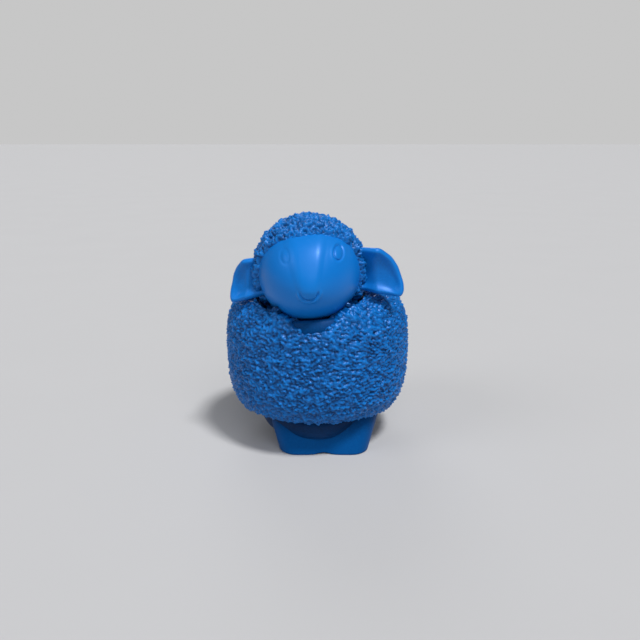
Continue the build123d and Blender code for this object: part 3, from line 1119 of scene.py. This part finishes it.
@dataclass
class Head:
    """The face, its hood and its eyes, in millimetres in the head's own frame."""

    frame: HeadFrame
    # Egg of the face
    core: float = 9.45
    core_length: float = 10.825
    core_forward: float = 1.375
    face_width: float = 9.8
    # Ridge down the face: half width and height by place above its middle
    ridge_width: ClassVar[tuple[Span, ...]] = (
        (-3.0, 1.1), (-1.0, 1.2), (1.0, 1.45), (6.0, 2.1), (8.0, 2.3),
    )
    ridge_height: ClassVar[tuple[Span, ...]] = ((-3.2, 0.06), (-1.4, 0.2), (2.0, 0.12), (8.0, 0.04))
    ridge_flatness: float = 0.6
    ridge_left: ClassVar[Span] = (1.75, 0.75)
    ridge_right: ClassVar[Span] = (-2.1, -0.7)
    ridge_end: ClassVar[Span] = (-3.4, -2.4)
    # Swellings of the nose and the muzzle: height, place below the middle, half width and height
    swellings: ClassVar[tuple[tuple[float, float, float, float], ...]] = (
        (0.16, 1.4, 1.2, 1.5), (0.5, 1.2, 3.3, 2.9),
    )
    # Groove under the nose, and the eyes' rings: height, reach and half width of each roll
    nose_drop: float = 1.45
    nose_slope: float = 0.1
    nose_span: ClassVar[Span] = (0.2, -0.8)
    nose_rolls: ClassVar[tuple[Triple, ...]] = ((-0.3, 1.55, 0.19), (0.16, 2.05, 0.28))
    ring_rolls: ClassVar[tuple[Triple, ...]] = ((-1.0, 0.86, 0.13), (0.2, 1.25, 0.25))
    ring_half: ClassVar[Span] = (1.0, 1.4)
    modelling_end: ClassVar[Span] = (1.5, 1.2)
    # Rings of the face, by angle from its front: first, last and how many
    front_rings: ClassVar[tuple[float, float, int]] = (0.008, 1.75, 200)
    back_rings: ClassVar[tuple[float, float, int]] = (1.75, 3.12, 24)
    face_columns: int = 320
    # Painted shading of the face: its level, and how much the features' height raises it
    face_painted_shading: ClassVar[Span] = (0.75, 0.7)
    # Eyes: share of the half width and height, and lift, of each step of their edge
    eyes: tuple[EyeSpot, ...] = (
        EyeSpot(Side.LEFT, 5.7, 4.7, 0.24),
        EyeSpot(Side.RIGHT, -4.1, 4.7, 0.04),
    )
    eye_half: ClassVar[Span] = (0.7, 1.1)
    eye_rings: ClassVar[tuple[float, float, int]] = (0.1, 0.92, 10)
    eye_columns: int = 56
    eye_dome: float = 0.07
    eye_roll: float = 0.05
    eye_edge: ClassVar[tuple[Span, ...]] = (
        (0.98, -0.08), (1.0, -0.16), (1.0, -0.3), (1.0, -0.6), (0.6, -0.6),
    )
    # Hood: a ball with rolls round the neck's axis, open in front along the fringe,
    # which is given as degrees from straight ahead by degrees round from the left
    radius: float = 11.2
    rolls: int = 11
    roll_depth: float = 0.3
    hood_pitch: float = math.radians(16.5)
    hood_divisions: int = 108
    fringe: ClassVar[tuple[Span, ...]] = (
        (-180, 72), (-150, 71.5), (-130, 73), (-110, 77), (-90, 80), (-70, 77), (-50, 73),
        (-30, 71), (0, 71), (20, 74), (38, 76), (60, 70), (75, 65), (87, 62.5), (100, 61.5),
        (115, 63.5), (127, 69), (150, 74), (180, 72),
    )
    fringe_waver: float = 0.22
    waver_across: float = 19.0
    waver_up: float = 16.0
    fringe_fold: ClassVar[Span] = (-1.0, 0.5)
    fringe_coat: ClassVar[Span] = (1.2, 0.2)
    fringe_tuck: float = 0.5
    hood_grain: ClassVar[Triple] = (0.3, 1.0, 0.2)
    # Most that the coat stands out: in the bowl, and more above it
    bowl_room: float = 0.15
    open_room: float = 0.5
    room_span: ClassVar[Span] = (-5.0, -2.0)
    coat: Coat = Coat(
        TuftField(0.7, (0.5, 1.1), (0.36, 0.58), (0.28, 0.74), 0.9, 31),
        TuftField(0.38, (0.26, 0.44), (0.5, 0.9), (0.08, 0.28), 1.6, 32),
        0.44,
    )

    def core_size(self) -> Array:
        """Half the face's egg across, along and up."""
        return np.array((self.face_width, self.core_length, self.core))

    def core_normals(self, points: Array) -> Array:
        """Outward directions on the face's egg."""
        return unit((points + np.array((0.0, self.core_forward, 0.0))) / self.core_size() ** 2)

    def core_reach(self, directions: Array) -> Array:
        """Distance from the head's centre to the face's egg.

        Args:
            directions: Unit directions in the head's frame.

        Returns:
            The distances.
        """
        scale = 1.0 / self.core_size()
        ray, start = directions * scale, np.array((0.0, self.core_forward, 0.0)) * scale
        a, b, c = np.sum(ray**2, 1), ray @ start, start @ start - 1.0
        return (-b + np.sqrt(b**2 - a * c)) / a

    def hood(self) -> Piece:
        """The tufted hood round the face."""
        directions, faces = cube_sphere(self.hood_divisions)
        sine, cosine = math.sin(self.hood_pitch), math.cos(self.hood_pitch)
        ahead, above = np.array((0.0, -cosine, -sine)), np.array((0.0, -sine, cosine))
        turn = np.degrees(np.arctan2(directions @ above, directions[:, 0]))
        edge = np.radians(np.interp(turn, *zip(*self.fringe)))
        past = (edge - np.arccos(np.clip(directions @ ahead, -1, 1))) * self.radius
        waver = self.fringe_waver * np.sin(directions[:, 0] * self.waver_across + 1.0)
        past = past + waver * np.cos(directions[:, 2] * self.waver_up)
        share = smooth_step(*self.fringe_fold, past)
        turned = np.arccos(np.clip(directions @ self.frame.axes @ self.frame.neck, -1, 1))
        outer = self.radius - self.roll_depth / 2 * (1.0 - np.cos(2 * self.rolls * turned))
        tucked = self.core_reach(directions) - self.fringe_tuck
        base = outer * (1.0 - share) + tucked * share
        draft = Draft(directions * base[:, None], faces)
        # The tufts' height also sets their painted shade between them and painted highlight on
        # their tops.
        lift, draft.relief = self.coat.lift(draft, np.cross(directions, np.array(self.hood_grain)))
        height = (self.frame.place(draft.points) - self.frame.centre) @ self.frame.neck
        room = self.bowl_room + self.open_room * smooth_step(*self.room_span, height)
        lift = np.minimum(lift * smooth_step(*self.fringe_coat, past), self.radius + room - base)
        draft.points = self.frame.place(directions * (base + lift)[:, None])
        return draft.piece("hood_curls", Body.HEAD, FLEECE, "hood")

    def modelling(self, across: Array, up: Array) -> Array:
        """How far the face's features stand out of its egg.

        Args:
            across: Places to the left of the face's middle.
            up: Places above it.

        Returns:
            Heights in millimetres.
        """
        share = across / np.interp(up, *zip(*self.ridge_width))
        proud = np.interp(up, *zip(*self.ridge_height))
        proud = proud + self.ridge_flatness * across**2 / (2.0 * self.face_width)
        left, right = smooth_step(*self.ridge_left, share), smooth_step(*self.ridge_right, share)
        height = proud * np.where(across > 0, left, right) * smooth_step(*self.ridge_end, up)
        for tall, below, half_width, half_height in self.swellings:
            height = height + tall * bump(across, half_width) * bump(up + below, half_height)
        reach = np.hypot(across, up + self.nose_drop)
        under = up + self.nose_drop - self.nose_slope * np.abs(across)
        for tall, middle, half in self.nose_rolls:
            roll = tall * bump(reach - middle, half)
            height = height + roll * smooth_step(*self.nose_span, under)
        for eye in self.eyes:
            half_width, half_height = self.ring_half
            ring = np.hypot((across - eye.across) / half_width, (up - eye.up) / half_height)
            for tall, middle, half in self.ring_rolls:
                height = height + tall * eye.depth * bump(ring - middle, half)
        return height

    def on_face(self, across: Array, up: Array, lift: float) -> Array:
        """Points on the front of the face's egg, in the head's frame.

        Args:
            across: Places to the left of the middle.
            up: Places above it.
            lift: Distance off the egg.

        Returns:
            The points.
        """
        square = 1.0 - (across / self.face_width) ** 2 - (up / self.core) ** 2
        depth = self.core_length * np.sqrt(np.maximum(square, 0.0))
        points = np.stack([across, -self.core_forward - depth, up], -1)
        return points + self.core_normals(points) * lift

    def face(self) -> Piece:
        """The smooth face with its nose ridge, nostril groove and eye rings."""
        front, back = np.linspace(*self.front_rings), np.linspace(*self.back_rings)
        angle = np.concatenate([front, back[1:]])
        turn = once_round(self.face_columns)
        across = self.face_width * np.sin(angle)[:, None] * np.cos(turn)
        up = self.core * np.sin(angle)[:, None] * np.sin(turn)
        along = -self.core_forward - self.core_length * np.cos(angle)[:, None]
        points = np.stack(np.broadcast_arrays(across, along, up), 2)
        height = self.modelling(across, up) * smooth_step(*self.modelling_end, angle)[:, None]
        rings = points + self.core_normals(points) * height[..., None]
        form = capped_rings(self.frame.place(rings))
        # Painted shading: painted highlight on the raised ridge and swellings, painted shade in the
        # nose groove and the eye rings.
        level, rate = self.face_painted_shading
        relief = np.clip(level + height * rate, 0.0, 1.0).ravel()
        form.relief = np.concatenate([relief, relief[:1], relief[-1:]])
        return form.piece("face_dome", Body.HEAD, SMOOTH, "face")

    def eye(self, spot: EyeSpot) -> Piece:
        """One oval eye, a little domed.

        Args:
            spot: Its place.

        Returns:
            The eye.
        """
        turn = once_round(self.eye_columns)
        steps = [
            (share, self.eye_dome * (1 - share**2) - self.eye_roll * share**6)
            for share in np.linspace(*self.eye_rings)
        ]
        rings: list[Array] = []
        for share, lift in (*steps, *self.eye_edge):
            across = spot.across + self.eye_half[0] * share * np.cos(turn)
            up = spot.up + self.eye_half[1] * share * np.sin(turn)
            rings.append(self.on_face(across, up, lift))
        form = capped_rings(self.frame.place(np.stack(rings)))
        name = f"{spot.side.name.lower()}_eye"
        return form.piece(f"{name}_dome", Body.HEAD, SMOOTH, name)

    def build(self) -> None:
        """Makes every piece of the head but the ears."""
        self.face()
        self.hood()
        for spot in self.eyes:
            self.eye(spot)


@dataclass
class Ear:
    """One dished ear with a thick rim, in millimetres and degrees."""

    frame: HeadFrame
    side: Side
    length: float
    sweep: float
    droop: float
    rise: float
    fall: float = 5.4
    # Edge: shares of the length and of the rise or fall, and the root inside the head
    edge_shares: ClassVar[tuple[Span, ...]] = (
        (0.0, 1.0), (0.46, 0.96), (0.75, 0.53), (0.9, 0.08), (1.0, -0.5), (0.99, -0.8), (0.9, -1.0),
    )
    root_drop: float = 0.74
    root_length: float = 2.8
    root_shares: ClassVar[Span] = (0.8, 0.6)
    edge_points: int = 180
    edge_rounds: int = 14
    # Leaf: a sheet of a large ball, with a soft edge and a rim in front
    thickness: float = 1.6
    dish: float = 9.0
    leaf_middle: ClassVar[Span] = (0.42, -0.1)
    dish_middle: ClassVar[Span] = (0.45, -0.08)
    leaf_start: float = 0.06
    leaf_rings: int = 22
    soft_edge: float = 0.2
    soft_rings: int = 12
    rim_height: float = 0.34
    rim_inset: float = 0.85
    rim_half: float = 0.8
    dive: float = 2.4
    dive_span: ClassVar[Span] = (3.2, -0.4)
    # Painted shade in the dish, lighter towards the rim
    relief: ClassVar[Span] = (0.55, 0.3)
    # Place on the head
    head_radius: float = 11.2
    forward: float = 3.0
    inset: float = 0.9

    def shares(self) -> Array:
        """How far out from the leaf's middle its rings lie, closer together at the edge."""
        quarter = np.linspace(0.0, math.pi / 2, self.soft_rings)[1:]
        flat = np.linspace(self.leaf_start, 1.0 - self.soft_edge, self.leaf_rings)
        return np.concatenate([flat, 1.0 - self.soft_edge * np.cos(quarter)])

    def outline(self) -> Array:
        """The ear's edge in its own plane, as places outward and up, with soft corners."""
        leaf = [
            (out * self.length, up * (self.rise if up > 0 else self.fall))
            for out, up in self.edge_shares
        ]
        low = -self.root_drop * self.fall
        ends = np.array((low, self.rise)) * self.root_shares
        root = [(0.0, low), *((-self.root_length, up) for up in ends)]
        closed = np.array([*leaf, *root, leaf[0]])
        edge = walk(closed, np.linspace(0.0, 1.0, self.edge_points, endpoint=False))
        for _ in range(self.edge_rounds):
            edge = 0.5 * edge + 0.25 * (np.roll(edge, 1, 0) + np.roll(edge, -1, 0))
        return edge

    def sheet(self, edge: Array, sign: int) -> list[Array]:
        """One face of the leaf.

        Args:
            edge: The ear's edge in its own plane.
            sign: 1 for the front and -1 for the back.

        Returns:
            Rings from the middle to the edge, as places outward, up and ahead.
        """
        size = np.array((self.length, self.fall))
        middle, dish = size * self.leaf_middle, size * self.dish_middle
        reach = np.linalg.norm(edge - middle, axis=1)
        rings: list[Array] = []
        for share in self.shares():
            plan = middle + share * (edge - middle)
            outer = np.clip((share - 1.0 + self.soft_edge) / self.soft_edge, 0.0, 1.0)
            full = math.sqrt(max(0.0, 1.0 - outer**2))
            level = self.dish - np.sqrt(self.dish**2 - np.sum((plan - dish) ** 2, axis=1))
            level = level - self.thickness / 2 + sign * self.thickness / 2 * full
            if sign > 0:
                rim = bump((1.0 - share) * reach - self.rim_inset, self.rim_half)
                level = level + self.rim_height * rim * full
            level = level - self.dive * smooth_step(*self.dive_span, plan[:, 0])
            rings.append(np.concatenate([plan, level[:, None]], 1))
        return rings

    def axes(self) -> Array:
        """The ear's own directions outward, up and ahead, in the head's frame."""
        sweep, droop = math.radians(self.sweep), math.radians(self.droop)
        sign, flat = self.side.value, math.cos(droop)
        out = np.array((sign * math.cos(sweep) * flat, math.sin(sweep) * flat, -math.sin(droop)))
        ahead = np.array((sign * math.sin(sweep), -math.cos(sweep), 0.0))
        return np.stack([out, sign * np.cross(ahead, out), ahead])

    def build(self) -> Piece:
        """Makes the ear."""
        edge = self.outline()
        rings = np.stack(self.sheet(edge, 1) + self.sheet(edge, -1)[-2::-1])
        aside = math.sqrt(self.head_radius**2 - self.forward**2) - self.inset
        root = np.array((self.side.value * aside, -self.forward, 0.0))
        form = capped_rings(self.frame.place(root + rings @ self.axes()))
        # Painted shade deep in the front dish, lighter out towards the rim; the back gets the plain
        # painted shading.
        deep, brightening = self.relief
        front = np.repeat(deep + brightening * self.shares() ** 3, len(edge))
        back = np.full(rings.shape[0] * len(edge) - len(front), Draft.plain_painted_shading)
        form.relief = np.concatenate([front, back, [deep, Draft.plain_painted_shading]])
        name = f"{self.side.name.lower()}_ear"
        return form.piece(f"{name}_leaf", Body.HEAD, SMOOTH, name)


@dataclass(frozen=True)
class Lamp:
    """A soft far lamp.

    Attributes:
        name: Its name.
        side: The direction that it shines from.
        power: Its strength.
        spread: The angle that it fills, in degrees.
    """

    name: str
    side: Triple
    power: float
    spread: float

    def build(self) -> None:
        """Hangs the lamp."""
        light = bpy.data.lights.new(self.name, "SUN")
        light.energy = self.power
        light.angle = math.radians(self.spread)
        lamp = bpy.data.objects.new(self.name, light)
        lamp.rotation_euler = (-Vector(self.side)).to_track_quat("-Z", "Y").to_euler()
        bpy.context.scene.collection.objects.link(lamp)


@dataclass
class Studio:
    """The floor, the light and the camera, in metres."""

    floor_half: float = 4.0
    floor_colour: ClassVar[Triple] = (0.5, 0.5, 0.51)
    floor_shade: ClassVar[Triple] = (0.45, 0.45, 0.46)
    floor_clouds: ClassVar[Span] = (30.0, 4.0)
    floor_mottle: float = 0.25
    floor_roughness: ClassVar[Span] = (0.8, 0.2)
    lamps: tuple[Lamp, ...] = (
        Lamp("key", (0.28, -0.36, 0.9), 2.6, 11.0),
        Lamp("front", (0.2, -0.75, 0.66), 0.8, 40.0),
        Lamp("left", (-0.75, -0.4, 0.6), 0.5, 30.0),
        Lamp("back", (-0.15, 0.8, 0.6), 0.45, 30.0),
    )
    sky_colour: ClassVar[Triple] = (0.95, 0.97, 1.0)
    sky_power: float = 0.14
    backdrop_colour: ClassVar[Triple] = (0.57, 0.57, 0.57)
    camera_place: ClassVar[Triple] = (0.000535, -0.1426, 0.06253)
    camera_pitch: float = math.radians(14.967)
    lens: float = 39.35
    sensor: float = 36.0
    nearest: float = 0.005

    def floor(self) -> None:
        """A plain pale floor."""
        mesh = bpy.data.meshes.new("floor")
        half = self.floor_half
        corners = [(-half, -half, 0), (half, -half, 0), (half, half, 0), (-half, half, 0)]
        mesh.from_pydata(corners, [], [(0, 1, 2, 3)])
        floor = bpy.data.objects.new("floor", mesh)
        bpy.context.scene.collection.objects.link(floor)
        desk = ShaderDesk(bpy.data.materials.new("pale_floor"))
        cloud = desk.noise(*self.floor_clouds)
        shade = self.floor_mottle * cloud
        colour = desk.mix(shade, (*self.floor_colour, 1.0), (*self.floor_shade, 1.0))
        smoothest, spread = self.floor_roughness
        sockets = {"Base Color": colour, "Roughness": smoothest + spread * cloud}
        shader = desk.add("ShaderNodeBsdfPrincipled", {}, sockets)
        desk.add("ShaderNodeOutputMaterial", {}, {"Surface": shader})
        mesh.materials.append(desk.owner)

    def world(self) -> None:
        """A dim sky, which the camera sees as a plain grey backdrop."""
        desk = ShaderDesk(bpy.data.worlds.new("studio"))
        sky = desk.add(
            "ShaderNodeBackground",
            {},
            {"Color": (*self.sky_colour, 1.0), "Strength": self.sky_power},
        )
        backdrop = desk.add("ShaderNodeBackground", {}, {"Color": (*self.backdrop_colour, 1.0)})
        seen = desk.add("ShaderNodeLightPath", {}, {}, "Is Camera Ray")
        either = desk.add("ShaderNodeMixShader", {}, {0: seen, 1: sky, 2: backdrop})
        desk.add("ShaderNodeOutputWorld", {}, {"Surface": either})
        bpy.context.scene.world = desk.owner

    def camera(self) -> None:
        """The camera, where the photograph was taken from."""
        data = bpy.data.cameras.new("camera")
        data.lens = self.lens
        data.sensor_width = self.sensor
        data.clip_start = self.nearest
        camera = bpy.data.objects.new("camera", data)
        camera.location = self.camera_place
        camera.rotation_euler = (math.pi / 2 - self.camera_pitch, 0.0, 0.0)
        bpy.context.scene.collection.objects.link(camera)
        bpy.context.scene.camera = camera
        bpy.context.scene.view_settings.view_transform = "Standard"

    def build(self) -> None:
        """Sets up the floor, the lamps, the world and the camera."""
        self.floor()
        for lamp in self.lamps:
            lamp.build()
        self.world()
        self.camera()


def dress_fittings() -> None:
    """Gives the hidden post, washer and clip their plastic."""
    for node in ("neck_post", "neck_washer", "neck_clip"):
        mesh = frame["nodes"][node].data
        mesh.materials.clear()
        mesh.materials.append(FITTING.material())
        LOG.info("%s: dressed as it is", node)


def main() -> None:
    """Builds the sheep and its studio."""
    logging.basicConfig(level=logging.INFO, format="%(name)s %(message)s")
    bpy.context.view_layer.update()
    pose = HeadFrame()
    Torso(pose).build()
    Head(pose).build()
    Ear(pose, Side.LEFT, length=8.1, sweep=6.0, droop=0.0, rise=4.5).build()
    Ear(pose, Side.RIGHT, length=6.9, sweep=36.0, droop=2.0, rise=3.5).build()
    dress_fittings()
    Studio().build()


if __name__ == "__main__":
    main()
